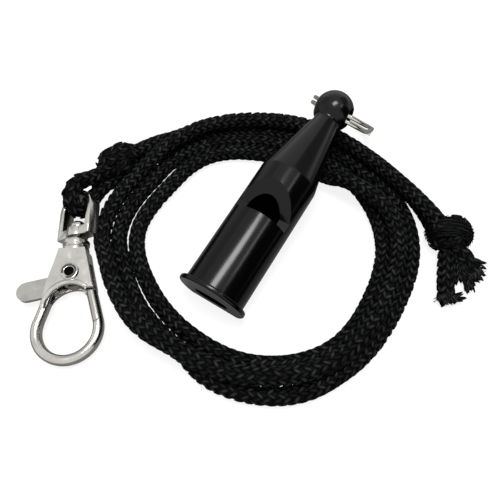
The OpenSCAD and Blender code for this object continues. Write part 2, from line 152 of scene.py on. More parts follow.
# Where the drawn braid departs from the plain solids, by about 2.5 mm at most, and the tails' loose yarns
DRAWN_LONG = [
    (105, 0.034), (120, 0.0356), (135, 0.0371), (150, 0.0373), (180, 0.036), (270, 0.0335), (300, 0.0331),
    (315, 0.0334), (330, 0.0346), (360, 0.0328), (372, 0.0332), (390, 0.0326), (420, 0.0306), (570, 0.0323),
    (600, 0.0315), (630, 0.0294), (660, 0.0289), (690, 0.03), (750, 0.0288), (780, 0.0264),
    (825, 0.0252, 0.0036), (832, 0.026, 0.0054), (840, 0.0274, 0.0064), (855, 0.0314, 0.0062),
    (1005, 0.0356, 0.0064), (1020, 0.0358, 0.0058), (1035, 0.0364, 0.0052), (1050, 0.0382, 0.0038),
    (1080, 0.0358, 0.0046), (1095, 0.0354, 0.0058), (1110, 0.0356, 0.0062), (1140, 0.0352, 0.0059),
]
DRAWN_SHORT = [(3, 0.0412, 0.005), (13, 0.0397, 0.0043), (22, 0.0387, 0.0032), (35, 0.0387, 0.0022)]
DRAWN_BIGHT = [
    (-0.0402, -0.0036, 0.0046), (-0.0409, 0.0002, 0.0042), (-0.0412, 0.0042, 0.0042),
    (-0.0407, 0.009, 0.0034),
]
DRAWN_TAIL_END = (0.0449, 0.0231, LAY)
TAIL_SIDE_POINTS = [(0.0418, 0.0358, 0.004), (0.0452, 0.0342, 0.0033), (0.0482, 0.0322, 0.0024)]
CLIP_KNOT_AT = (-0.0418, 0.0127, 0.0054)
END_KNOT_AT = (0.0392, 0.0385, 0.0038)
TUFTS = [
    [(0.0436, 0.0352, 0.004), (0.0459, 0.0343, 0.0037), (0.0484, 0.0347, 0.0031)],
    [(0.0443, 0.0341, 0.0034), (0.0468, 0.0328, 0.003), (0.0492, 0.0324, 0.0024)],
    [(0.0452, 0.0328, 0.0027), (0.0472, 0.0306, 0.0021), (0.0486, 0.0288, 0.0015)],
    [(0.0436, 0.0338, 0.0024), (0.0448, 0.0316, 0.0019), (0.0458, 0.0297, 0.0014)],
    [(0.0446, 0.0334, 0.003), (0.0466, 0.0314, 0.0026), (0.0486, 0.0305, 0.002)],
    [(0.0448, 0.0236, 0.002), (0.046, 0.0236, 0.0021), (0.0473, 0.0247, 0.002)],
]
KNOT_R, KNOT_WAVE, KNOT_RISE = 0.0025, 0.0011, 0.0017
CLIP_KNOT_TURN, END_KNOT_TURN, END_WRAP_TURN = 60, 30, 22
WRAP_SWEEP = 100

# Braid: shares of the cord's radius and of the pitch, ends of random spreads, twist in radians a metre
COLUMNS, FEW_COLUMNS = 12, 5
STITCH_AT, STITCH_W, STITCH_T, CORE = 0.83, 0.5, 0.38, 0.86
STITCH_LEN = 1.25
TUCK = math.radians(5)
TWIST = 9.0
STRAY, TONES, SWAY = (-0.17, 0.17), (0.05, 1.15), (0.45, 1.5)
FIBRE_SIZES, FIBRE_LEAN = (0.45, 1.1), Vector((1, 1, 6))

# Studio: what cards and lamps face, the cards' place, width, height and glow, and the lamps' place, long
# side, width, length and power
AIM = Vector((0, 0.02, 0))
CARDS = {
    "dark_card": ((0.36, 0.12, 0.13), 0.5, 0.3, 0.0),
    "back_card": ((0.27, 0.55, 0.4), 0.45, 0.45, 0.3),
    "grey_card": ((-0.33, 0.03, 0.58), 0.44, 0.44, 0.95),
    "left_card": ((-0.55, 0.14, 0.2), 0.6, 0.4, 0.6),
}
LAMPS = {
    "top_softbox": ((0.0, 0.025, 0.5), (0.5, 0.87, 0.0), 0.13, 0.21, 1.7),
    "side_softbox": ((0.39, 0.18, 0.48), (0.0, 1.0, 0.0), 0.15, 0.24, 0.6),
}
SKY_LIGHT, SKY_SEEN = 0.38, 1.0
FLOOR_HALF = 1.5
FLOOR_MATTE, FLOOR_GLOW, FLOOR_IN_GLOSS = 0.2, 0.86, 0.1
CAMERA_AT = (0.029871, -0.037997, 0.103665)
CAMERA_TURN = (math.radians(29.01), 0, math.radians(31.99))
LENS = 34.445


# Settings

class CordSettings(bpy.types.PropertyGroup):
    """Sizes and colours of the braided lanyard"""

    cord_d: FloatProperty(
        name="Cord diameter", description="Outside of the braid", default=0.00405, unit="LENGTH")
    pitch: FloatProperty(
        name="Stitch pitch", description="Distance between stitches along one column", default=0.0021,
        unit="LENGTH")
    slant: FloatProperty(
        name="Stitch slant", description="Angle of a stitch to the cord", default=math.radians(27),
        subtype="ANGLE")
    dark: FloatVectorProperty(
        name="Cord black", description="Colour between the stitches", default=(0.0012, 0.0013, 0.0013),
        subtype="COLOR")
    # Painted highlight: this grey is painted on the crown of each stitch of the braid; the loose fibres use
    # it as one of their own greys.
    light: FloatVectorProperty(
        name="Cord grey", description="Colour on the crown of a stitch", default=(0.057, 0.061, 0.059),
        subtype="COLOR")
    fibres: IntProperty(
        name="Frayed fibres", description="Loose fibres at a cut end", default=220)


class PlasticSettings(bpy.types.PropertyGroup):
    """Finish of the moulded whistle"""

    colour: FloatVectorProperty(
        name="Plastic black", description="Base colour of the moulding", default=(0.0008, 0.0009, 0.0009),
        subtype="COLOR")
    roughness: FloatProperty(
        name="Plastic roughness", description="Mean roughness of the gloss", default=0.2, subtype="FACTOR")
    gloss: FloatProperty(
        name="Plastic gloss", description="Strength of the reflection", default=0.26, subtype="FACTOR")
    edge: FloatProperty(
        name="Edge rounding", description="Width of the broken edges", default=0.00018, unit="LENGTH")


class MetalSettings(bpy.types.PropertyGroup):
    """Finish of the plated snap and ring"""

    colour: FloatVectorProperty(
        name="Nickel", description="Base colour of the plating", default=(0.56, 0.545, 0.51), subtype="COLOR")
    roughness: FloatProperty(
        name="Nickel roughness", description="Mean roughness of the plating", default=0.2, subtype="FACTOR")
    edge: FloatProperty(
        name="Edge rounding", description="Width of the rounded edges", default=0.0003, unit="LENGTH")


# Small helpers

def link(obj):
    """Puts a new object into the scene."""
    bpy.context.scene.collection.objects.link(obj)
    return obj


def mesh_piece(name, points, faces, material, smooth=True):
    """Makes a mesh object from points and faces."""
    mesh = bpy.data.meshes.new(name)
    mesh.from_pydata(points, [], faces)
    mesh.validate()
    mesh.materials.append(material)
    mesh.polygons.foreach_set("use_smooth", [smooth] * len(mesh.polygons))
    return link(bpy.data.objects.new(name, mesh))


def line_piece(name, paths, closed=False):
    """Makes a curve object with one poly line for each path."""
    curve = bpy.data.curves.new(name, "CURVE")
    curve.dimensions = "3D"
    for path in paths:
        line = curve.splines.new("POLY")
        line.points.add(len(path) - 1)
        line.points.foreach_set("co", np.column_stack([path, np.ones(len(path))]).ravel())
        line.use_cyclic_u = closed
    return link(bpy.data.objects.new(name, curve))


def edit_mesh(obj, change):
    """Runs one change on the object's mesh through bmesh."""
    edit = bmesh.new()
    edit.from_mesh(obj.data)
    change(edit)
    edit.to_mesh(obj.data)
    edit.free()


def turn_out(obj):
    """Makes the normals of a closed solid point outwards."""
    edit_mesh(obj, lambda edit: bmesh.ops.recalc_face_normals(edit, faces=edit.faces))
    return obj


def sharpen(obj, degrees):
    """Marks the edges past an angle as sharp and shades the rest smooth."""
    limit = math.radians(degrees)

    def mark(edit):
        for edge in edit.edges:
            edge.smooth = len(edge.link_faces) == 2 and edge.calc_face_angle(0.0) < limit
        for face in edit.faces:
            face.smooth = True

    edit_mesh(obj, mark)


def plain_mesh(obj):
    """The evaluated object as a mesh of its own."""
    graph = bpy.context.evaluated_depsgraph_get()
    return bpy.data.meshes.new_from_object(obj.evaluated_get(graph), depsgraph=graph)


def modify(obj, kind, **settings):
    """Applies one modifier and keeps the mesh that it makes."""
    step = obj.modifiers.new(kind.lower(), kind)
    for key, value in settings.items():
        setattr(step, key, value)
    mesh = plain_mesh(obj)
    obj.modifiers.clear()
    old = obj.data
    obj.data = mesh
    bpy.data.meshes.remove(old)


def lay_down(obj):
    """Rests whatever is under the floor on it."""
    for vertex in obj.data.vertices:
        if vertex.co.z < HAIR:
            vertex.co.z = HAIR


def combine(obj, other, operation="DIFFERENCE"):
    """Applies one boolean and removes the other solid."""
    modify(obj, "BOOLEAN", operation=operation, solver="EXACT", material_mode="TRANSFER", object=other)
    bpy.data.objects.remove(other)


def break_edges(obj, width, segments, degrees=28, smooth=38, flat=0.6, merge=2e-6):
    """Rounds the edges past an angle, after a merge of points and flat faces, and shades the solid."""
    def clean(edit):
        bmesh.ops.remove_doubles(edit, verts=edit.verts, dist=merge)
        bmesh.ops.dissolve_limit(edit, angle_limit=math.radians(flat), verts=edit.verts, edges=edit.edges,
                                 delimit={"MATERIAL"})

    edit_mesh(obj, clean)
    modify(obj, "BEVEL", width=width, segments=segments, limit_method="ANGLE",
           angle_limit=math.radians(degrees))
    sharpen(obj, smooth)


def weigh_normals(obj):
    """Lets the broad faces set the normals, so that only the rounded edges bend the light."""
    modify(obj, "WEIGHTED_NORMAL", keep_sharp=True)


def lathe(name, profile, segments, material, shift=0.0):
    """Solid of revolution about local Z, moved up by shift, from a profile of (radius, height)."""
    points, faces, rows = [], [], []
    for radius, height in profile:
        count = 1 if radius < 1e-7 else segments
        rows.append(list(range(len(points), len(points) + count)))
        points += [(x, y, height) for x, y in arc(0, -shift, radius, 0, 360, segments)[:count]]
    for low, high in zip(rows, rows[1:]):
        for k in range(segments):
            n = (k + 1) % segments
            if len(low) == 1:
                faces.append((low[0], high[k], high[n]))
            elif len(high) == 1:
                faces.append((low[k], high[0], low[n]))
            else:
                faces.append((low[k], high[k], high[n], low[n]))
    return turn_out(mesh_piece(name, points, faces, material))


def loft(name, rows, material):
    """Closed solid through rows of points that all have the same count."""
    n = len(rows[0])
    last = (len(rows) - 1) * n
    faces = [tuple(range(n)), tuple(range(last + n - 1, last - 1, -1))]
    for i in range(len(rows) - 1):
        for k in range(n):
            m = (k + 1) % n
            faces.append((i * n + k, (i + 1) * n + k, (i + 1) * n + m, i * n + m))
    return turn_out(mesh_piece(name, [p for row in rows for p in row], faces, material, smooth=False))


def rectangle(x, y, z=0.0):
    """Corners of a level rectangle with these half sides."""
    return [(-x, -y, z), (x, -y, z), (x, y, z), (-x, y, z)]


def arc(cx, cy, r, start, stop, steps):
    """Points of a plane arc, angles in degrees."""
    angles = [math.radians(start + (stop - start) * i / steps) for i in range(steps + 1)]
    return [(cx + r * math.cos(a), cy + r * math.sin(a)) for a in angles]


# Paths

def station_path(stations, step=2):
    """Cubic Hermite of radius and height over the angle, as in the part's source."""
    table = np.array([(*station, LAY)[:3] for station in stations], float)
    n = len(table)
    sides = [(table[max(i - 1, 0)], table[min(i + 1, n - 1)]) for i in range(n)]
    slope = np.array([(after - before) / (after[0] - before[0]) for before, after in sides])
    count = int(round((table[-1, 0] - table[0, 0]) / step))
    angle = np.linspace(table[0, 0], table[-1, 0], count + 1)
    i = np.clip(np.searchsorted(table[:, 0], angle, side="right") - 1, 0, n - 2)
    h = (table[i + 1, 0] - table[i, 0])[:, None]
    t = (angle[:, None] - table[i, :1]) / h
    at = ((2 * t**3 - 3 * t**2 + 1) * table[i] + (t**3 - 2 * t**2 + t) * h * slope[i]
          + (3 * t**2 - 2 * t**3) * table[i + 1] + (t**3 - t**2) * h * slope[i + 1])
    w = np.radians(angle)
    return np.stack([COIL[0] - at[:, 1] * np.cos(w), COIL[1] + at[:, 1] * np.sin(w), at[:, 2]], 1)


def spline_path(points, per=10):
    """Smooth path through a few points."""
    p = np.array(points, float)
    n = len(p)
    out = []
    for i in range(n - 1):
        a, b, c, d = p[max(i - 1, 0)], p[i], p[i + 1], p[min(i + 2, n - 1)]
        for j in range(per):
            t = j / per
            out.append(0.5 * (2 * b + (c - a) * t + (2 * a - 5 * b + 4 * c - d) * t * t
                              + (3 * b - a - 3 * c + d) * t**3))
    out.append(p[-1])
    return np.array(out)


def knot_path(at, turn_deg, count=180):
    """Closed overhand-knot line, drawn tighter than the plain solid."""
    t = np.linspace(0, 2 * np.pi, count, endpoint=False)
    r = KNOT_R + KNOT_WAVE * np.cos(3 * t)
    w = 2 * t + math.radians(turn_deg)
    return np.array(at) + np.stack([r * np.cos(w), r * np.sin(w), KNOT_RISE * np.sin(3 * t)], 1)


def wrap_paths(at, turn_deg, lines, half, rise, across):
    """Arcs side by side over the top of a knot."""
    c, s = math.cos(math.radians(turn_deg)), math.sin(math.radians(turn_deg))
    t = np.radians(np.linspace(-WRAP_SWEEP, WRAP_SWEEP, 25))[:, None]
    paths = []
    for k in range(lines):
        f = (2 * k + 1) / lines - 1
        fall = math.sqrt(1 - 0.5 * f * f)
        x, y = half * fall * np.sin(t), across * f
        paths.append(np.array(at) + np.hstack([x * c - y * s, x * s + y * c, rise * fall * np.cos(t)]))
    return paths


def bead_path(side):
    """Line of the raised bead around the throat, on one face of the snap's body."""
    path = []
    for degrees in range(BEAD_FROM, BEAD_TO + 1, BEAD_STEP):
        w = math.radians(degrees)
        x = THROAT[0] + BEAD_R * math.cos(w)
        face = FACE_HALF - max(0.0, (TAPER_AT - x) / TAPER_LEN) * TAPER_DROP
        path.append(SNAP_FRAME @ Vector((x, THROAT[1] + BEAD_R * math.sin(w), side * (face - BEAD_SINK))))
    return np.array(path)


def ring_path(count=240):
    """Flat-wire line of nearly two turns with a smooth jog between them."""
    angle = np.linspace(RING_FROM, RING_TO, count + 1)
    t = np.clip((angle - JOG_FROM) / JOG_SPAN, 0, 1)
    w = np.radians(angle)
    z = (WIRE_W + TURN_GAP) * (t * t * (3 - 2 * t) - 0.5)
    return np.stack([RING_MEAN_R * np.cos(w), RING_MEAN_R * np.sin(w), z], 1)


def spring_path():
    """Torsion spring about the rivet: low leg, coil and high leg."""
    w = np.radians(np.linspace(COIL_FROM, COIL_FROM + COIL_TURN, 136))
    z = COIL_LOW + COIL_PITCH * (w - w[0]) / (2 * np.pi)
    coil = np.stack([RIVET_X + COIL_R * np.cos(w), COIL_R * np.sin(w), z], 1)
    first = coil[0] + LEG_LOW * np.array([math.sin(w[0]), -math.cos(w[0]), 0])
    last = coil[-1] + LEG_HIGH * np.array([-math.sin(w[-1]), math.cos(w[-1]), 0])
    return np.array([SNAP_FRAME @ Vector(p) for p in np.vstack([first, coil, last])])


# Node trees

def feed(tree, made, inputs):
    """Sets inputs of a node; each is a value or another node's output."""
    for key, value in inputs.items():
        if isinstance(value, bpy.types.NodeSocket):
            tree.links.new(value, made.inputs[key])
        else:
            made.inputs[key].default_value = value


def node(tree, kind, inputs=None, **settings):
    """Adds a node with its settings and inputs."""
    made = tree.nodes.new(kind)
    for key, value in settings.items():
        setattr(made, key, value)
    feed(tree, made, inputs or {})
    return made


def geo(tree, kind, inputs=None, **settings):
    """First output of a new geometry node."""
    return node(tree, "GeometryNode" + kind, inputs, **settings).outputs[0]


def maths(tree, operation, *inputs):
    """Output of one math node."""
    return node(tree, "ShaderNodeMath", dict(enumerate(inputs)), operation=operation).outputs[0]


def times(tree, first, second):
    """Output of a product."""
    return maths(tree, "MULTIPLY", first, second)


def vector(tree, x=0.0, y=0.0, z=0.0):
    """Output of a vector made of three numbers."""
    return node(tree, "ShaderNodeCombineXYZ", {"X": x, "Y": y, "Z": z}).outputs[0]


def chance(tree, spread, seed):
    """Output of a random number between two ends."""
    return node(tree, "FunctionNodeRandomValue", {2: spread[0], 3: spread[1], "Seed": seed}).outputs[1]


def turned(tree, rotation, by):
    """Output of a rotation turned on about its own axes."""
    return node(tree, "FunctionNodeRotateRotation", {"Rotation": rotation, "Rotate By": by},
                rotation_space="LOCAL").outputs[0]


def own_place(tree):
    """Output of the place on the object."""
    return node(tree, "ShaderNodeTexCoord").outputs["Object"]


def noise(tree, place, scale, detail=2.0):
    """Height of a noise texture."""
    inputs = {"Vector": place, "Scale": scale, "Detail": detail}
    return node(tree, "ShaderNodeTexNoise", inputs).outputs["Fac"]


def ramp(tree, factor, stops):
    """Colour of a ramp; each stop is a place and a grey or a colour."""
    made = node(tree, "ShaderNodeValToRGB", {"Fac": factor})
    marks = made.color_ramp.elements
    while len(marks) > 1:
        marks.remove(marks[-1])
    for i, (place, colour) in enumerate(stops):
        mark = marks[0] if i == 0 else marks.new(place)
        mark.position = place
        mark.color = (*colour, 1) if isinstance(colour, tuple) else (colour, colour, colour, 1)
    return made.outputs["Color"]


def shades(colour, *factors):
    """The colour at several strengths, none above white."""
    return [tuple(min(1.0, f * c) for c in colour) for f in factors]


def new_material(name):
    """A node material: the material, its tree and its shader."""
    material = bpy.data.materials.new(name)
    material.use_nodes = True
    return material, material.node_tree, material.node_tree.nodes["Principled BSDF"]


def new_tree(name, **inputs):
    """A geometry tree with inputs named by kind; gives the tree, its input sockets and its way out."""
    tree = bpy.data.node_groups.new(name, "GeometryNodeTree")
    tree.interface.new_socket("Geometry", in_out="OUTPUT", socket_type="NodeSocketGeometry")
    tree.interface.new_socket("Geometry", in_out="INPUT", socket_type="NodeSocketGeometry")
    for kind, labels in (inputs | {"Material": "Material"}).items():
        for label in labels.split():
            tree.interface.new_socket(label, in_out="INPUT", socket_type="NodeSocket" + kind)
    start = tree.nodes.new("NodeGroupInput").outputs

    def leave(geometry):
        real = geo(tree, "RealizeInstances", {"Geometry": geometry})
        paint = geo(tree, "SetMaterial", {"Geometry": real, "Material": start["Material"]})
        node(tree, "NodeGroupOutput", {"Geometry": paint})

    return tree, start, leave


def grow(obj, tree, **inputs):
    """Runs a node tree on an object and keeps the result as a plain mesh."""
    step = obj.modifiers.new("nodes", "NODES")
    step.node_group = tree
    sockets = {s.name: s.identifier for s in tree.interface.items_tree if s.in_out == "INPUT"}
    for label, value in inputs.items():
        step[sockets[label]] = value
    mesh = plain_mesh(obj)
    name = obj.name
    bpy.data.objects.remove(obj)
    mesh.polygons.foreach_set("use_smooth", [True] * len(mesh.polygons))
    return link(bpy.data.objects.new(name, mesh))


def braid_tree():
    """Node tree: columns of slanted yarn stitches around a dark core along a line."""
    tree, start, leave = new_tree(
        "braided_cord", Float="Radius Core Pitch Slant Tuck Length Width Thickness Twist", Int="Columns Seed")
    along = node(tree, "GeometryNodeSplineParameter").outputs["Length"]
    line = geo(tree, "SetCurveTilt", {"Curve": start["Geometry"], "Tilt": times(tree, along, start["Twist"])})
    rows = node(tree, "GeometryNodeCurveToPoints", {"Curve": line, "Length": start["Pitch"]},
                mode="LENGTH").outputs
    copies = node(tree, "GeometryNodeDuplicateElements", {
        "Geometry": rows["Points"], "Amount": start["Columns"]}).outputs
    column = copies["Duplicate Index"]
    angle = maths(tree, "DIVIDE", times(tree, column, 2 * math.pi), start["Columns"])
    hand = maths(tree, "MULTIPLY_ADD", maths(tree, "MODULO", column, 2.0), 2.0, -1.0)
    step = maths(tree, "FLOOR", times(tree, maths(tree, "MODULO", column, 4.0), 0.5))
    seed = start["Seed"]
    stray = chance(tree, STRAY, seed)
    half_step = maths(tree, "MULTIPLY_ADD", step, 0.5, -0.25)
    shift = times(tree, start["Pitch"], maths(tree, "ADD", stray, half_step))
    around = turned(tree, rows["Rotation"], vector(tree, z=angle))
    out = node(tree, "FunctionNodeRotateVector", {
        "Vector": vector(tree, x=start["Radius"], z=shift), "Rotation": around}).outputs[0]
    spread = geo(tree, "SetPosition", {"Geometry": copies["Geometry"], "Offset": out})
    tone = chance(tree, TONES, seed)
    toned = geo(tree, "StoreNamedAttribute", {"Geometry": spread, "Name": "tone", "Value": tone})
    sway = chance(tree, SWAY, seed)
    slant = times(tree, times(tree, hand, start["Slant"]), sway)
    slanted = turned(tree, around, vector(tree, x=slant, y=start["Tuck"]))
    ball = geo(tree, "MeshUVSphere", {"Segments": 5, "Rings": 5, "Radius": 0.5})
    place = geo(tree, "InputPosition")
    mapped = geo(tree, "StoreNamedAttribute", {"Geometry": ball, "Name": "yarn", "Value": place},
                 data_type="FLOAT_VECTOR")
    size = vector(tree, start["Thickness"], start["Width"], start["Length"])
    stitch = geo(tree, "Transform", {"Geometry": mapped, "Scale": size})
    stitches = geo(tree, "InstanceOnPoints", {"Points": toned, "Instance": stitch, "Rotation": slanted})
    section = geo(tree, "CurvePrimitiveCircle", {"Resolution": 8, "Radius": start["Core"]})
    core = geo(tree, "CurveToMesh", {"Curve": line, "Profile Curve": section, "Fill Caps": True})
    both = node(tree, "GeometryNodeJoinGeometry")
    for part in (stitches, core):
        tree.links.new(part, both.inputs[0])
    leave(both.outputs[0])
    return tree


def flat_wire_tree():
    """Node tree: sweeps a rounded rectangle along the ring line and lays it in place."""
    tree, start, leave = new_tree("flat_wire_ring", Float="Width Thickness Corner", Vector="Place Turn")
    line = geo(tree, "SetCurveNormal", {"Curve": start["Geometry"]}, mode="Z_UP")
    section = geo(tree, "CurvePrimitiveQuadrilateral", {
        "Width": start["Thickness"], "Height": start["Width"]})
    fillet = geo(tree, "FilletCurve", {"Curve": section, "Radius": start["Corner"], "Count": 3}, mode="POLY")
    sweep = geo(tree, "CurveToMesh", {"Curve": line, "Profile Curve": fillet, "Fill Caps": True})
    leave(geo(tree, "Transform", {
        "Geometry": sweep, "Translation": start["Place"], "Rotation": start["Turn"]}))
    return tree


def fibre_tree():
    """Node tree: sets bent fibres on the faces of a surface, leaning at random."""
    tree, start, leave = new_tree("loose_fibres", Float="Density Length Radius Bend Lean", Int="Seed")
    roots = node(tree, "GeometryNodeDistributePointsOnFaces", {
        "Mesh": start["Geometry"], "Density": start["Density"], "Seed": start["Seed"]}).outputs
    middle = vector(tree, z=times(tree, start["Length"], 0.5))
    tip = vector(tree, x=times(tree, start["Length"], start["Bend"]), z=start["Length"])
    line = geo(tree, "CurveQuadraticBezier", {
        "Resolution": 5, "Start": (0, 0, 0), "Middle": middle, "End": tip})
    section = geo(tree, "CurvePrimitiveCircle", {"Resolution": 3, "Radius": start["Radius"]})
    thread = geo(tree, "CurveToMesh", {"Curve": line, "Profile Curve": section, "Fill Caps": True})
    low, high = (node(tree, "ShaderNodeVectorMath", {0: way, "Scale": start["Lean"]},
                      operation="SCALE").outputs[0] for way in (-FIBRE_LEAN, FIBRE_LEAN))
    lean = node(tree, "FunctionNodeRandomValue", {0: low, 1: high, "Seed": start["Seed"]},
                data_type="FLOAT_VECTOR").outputs[0]
    leave(geo(tree, "InstanceOnPoints", {
        "Points": roots["Points"], "Instance": thread, "Rotation": turned(tree, roots["Rotation"], lean),
        "Scale": chance(tree, FIBRE_SIZES, start["Seed"])}))
    return tree


# Materials

def bump(tree, height, strength, distance):
    """Output of a shading normal lifted by a height."""
    inputs = {"Height": height, "Strength": strength, "Distance": distance}
    return node(tree, "ShaderNodeBump", inputs).outputs["Normal"]


def black_plastic(cfg):
    """Glossy moulded plastic with faint handling marks and mould waviness."""
    material, tree, shader = new_material("black_moulded_plastic")
    place = own_place(tree)
    mean = cfg.roughness
    base, second_tone = shades(cfg.colour, 1, 2)
    rubbed = node(tree, "ShaderNodeMapping", {"Vector": place, "Scale": (2600, 90, 2600)}).outputs[0]
    feed(tree, shader, {
        "Base Color": ramp(tree, noise(tree, rubbed, scale=1), [(0.35, base), (0.75, second_tone)]),
        "Roughness": ramp(tree, noise(tree, place, scale=160, detail=5), [
            (0.3, mean * 0.85), (0.62, mean), (0.8, mean * 1.35)]),
        "Specular IOR Level": cfg.gloss,
        "Normal": bump(tree, noise(tree, place, scale=220, detail=1), strength=0.1, distance=0.00006)})
    return material


def bore_black_and_shade(cfg):
    """Unpolished black inside the chamber and the windway, darker than the outside and nearly without
    reflection: painted shade in the hollow.
    """
    material, tree, shader = new_material("moulded_bore")
    # Painted shade: the inside is darker than the outside plastic, in patches.
    deepest_shade, base = shades(cfg.colour, 0.15, 0.6)
    patch = noise(tree, own_place(tree), scale=700, detail=3)
    feed(tree, shader, {
        "Base Color": ramp(tree, patch, [(0.3, deepest_shade), (0.7, base)]),
        "Roughness": 0.9, "Specular IOR Level": 0.02})
    return material


def nickel_plate(cfg, name="nickel_plate", dull=1.0, shade=1.0):
    """Plated casting: a little wavy, with duller patches."""
    material, tree, shader = new_material(name)
    place = own_place(tree)
    mean = cfg.roughness * dull
    low, base, high = shades(cfg.colour, 0.86 * shade, shade, 1.08 * shade)
    feed(tree, shader, {
        "Base Color": ramp(tree, noise(tree, place, scale=300), [(0.3, low), (0.5, base), (0.75, high)]),
        "Roughness": ramp(tree, noise(tree, place, scale=420, detail=4), [
            (0.3, mean * 0.7), (0.6, mean), (0.82, mean * 1.7)]),
        "Metallic": 1.0,
        "Normal": bump(tree, noise(tree, place, scale=330), strength=0.25, distance=0.0001)})
    return material


def braided_yarn(cfg):
    """Black filament yarn: fine lines along each stitch, stitches of slightly different grey; the grey is a
    painted highlight on the crown of each stitch.
    """
    material, tree, shader = new_material("braided_yarn")
    yarn = node(tree, "ShaderNodeAttribute", attribute_name="yarn").outputs["Vector"]
    tone = node(tree, "ShaderNodeAttribute", attribute_name="tone").outputs["Fac"]
    place = node(tree, "ShaderNodeSeparateXYZ", {"Vector": yarn}).outputs
    # Painted highlight: lighter where a stitch faces out from the cord and midway along it, painted shade
    # towards its sides and ends; the fine lines and the random tone vary it.
    outward = times(tree, place["X"], 2.0)
    crown = ramp(tree, outward, [(0.25, 0.0), (0.6, 0.3), (0.9, 1.0)])
    along = maths(tree, "ADD", place["Z"], 0.5)
    highlight_along = ramp(tree, along, [(0.08, 0.05), (0.3, 0.7), (0.5, 1.0), (0.75, 0.6), (0.95, 0.0)])
    lines = node(tree, "ShaderNodeTexWave", {
        "Vector": yarn, "Scale": 1.3, "Distortion": 1.2, "Detail": 1.5, "Detail Scale": 2.0},
        bands_direction="Y").outputs["Fac"]
    strand = maths(tree, "MULTIPLY_ADD", lines, 0.5, 0.5)
    lit = times(tree, times(tree, tone, crown), highlight_along)
    grey = times(tree, lit, strand)
    feed(tree, shader, {
        "Base Color": ramp(tree, grey, [(0.0, tuple(cfg.dark)), (1.0, tuple(cfg.light))]),
        "Roughness": 0.55, "Specular IOR Level": 0.05,
        "Normal": bump(tree, lines, strength=0.5, distance=0.00005)})
    return material


def loose_fibre(cfg):
    """Frayed filament, in patches from black to brownish grey."""
    material, tree, shader = new_material("loose_fibre")
    stops = [(0.35, tuple(cfg.dark)), (0.6, tuple(cfg.light)), (0.8, (0.07, 0.066, 0.06))]
    feed(tree, shader, {
        "Base Color": ramp(tree, noise(tree, own_place(tree), scale=900), stops),
        "Roughness": 0.6, "Specular IOR Level": 0.15})
    return material


# Operators

